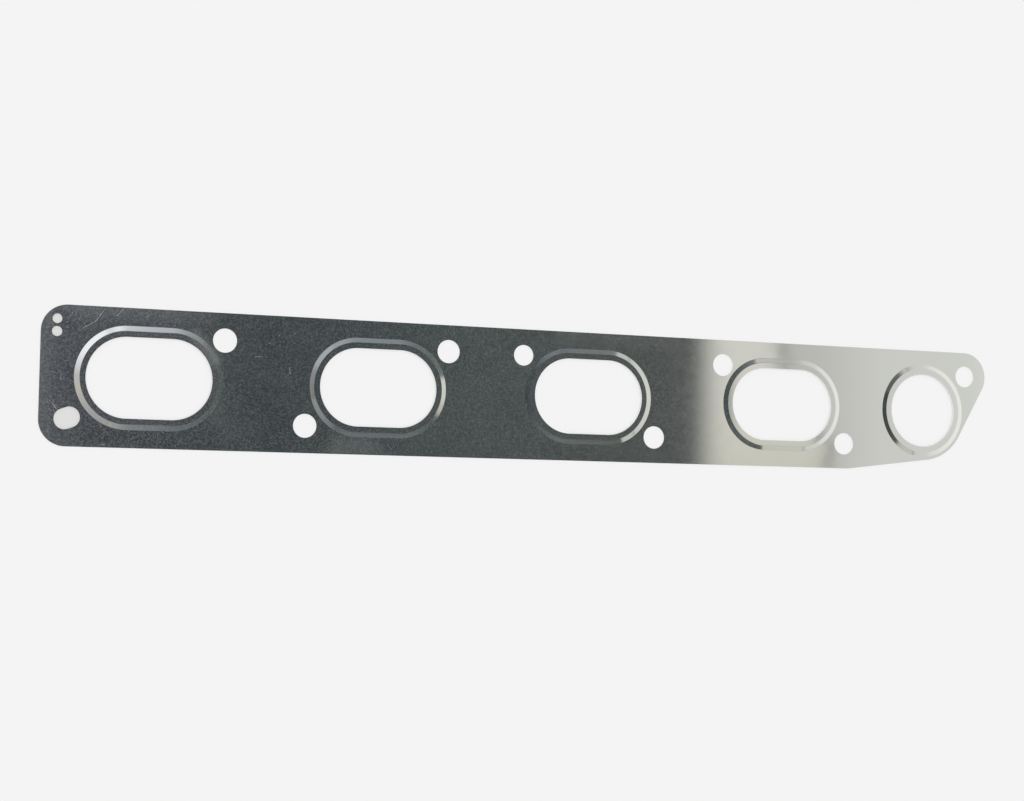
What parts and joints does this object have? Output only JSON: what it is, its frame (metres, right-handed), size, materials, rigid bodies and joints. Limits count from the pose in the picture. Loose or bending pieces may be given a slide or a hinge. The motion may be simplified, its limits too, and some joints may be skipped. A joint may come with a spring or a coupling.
{
  "type": "exhaust manifold gasket",
  "caption": "Flat embossed steel gasket that seals a row of oval exhaust ports and a round port to a manifold, each port inside a raised half bead, with stud holes between them.",
  "frame": {"origin": "on the plane of the flat sheet's underside, under the middle of the sheet's outer box", "axes": "+X runs along the row of ports from the oval ports to the round one, +Y runs across the sheet from the slotted hole's row to the other row of stud holes, +Z out of the sheet on the side to which the beads rise"},
  "size_m": [0.4453, 0.057, 0.0009],
  "materials": {
    "steel_sheet": "bright cold-rolled stainless spring steel with a fine matt grain"
  },
  "bodies": {
    "root": {"gasket_sheet": "steel_sheet"}
  },
  "joints": []
}
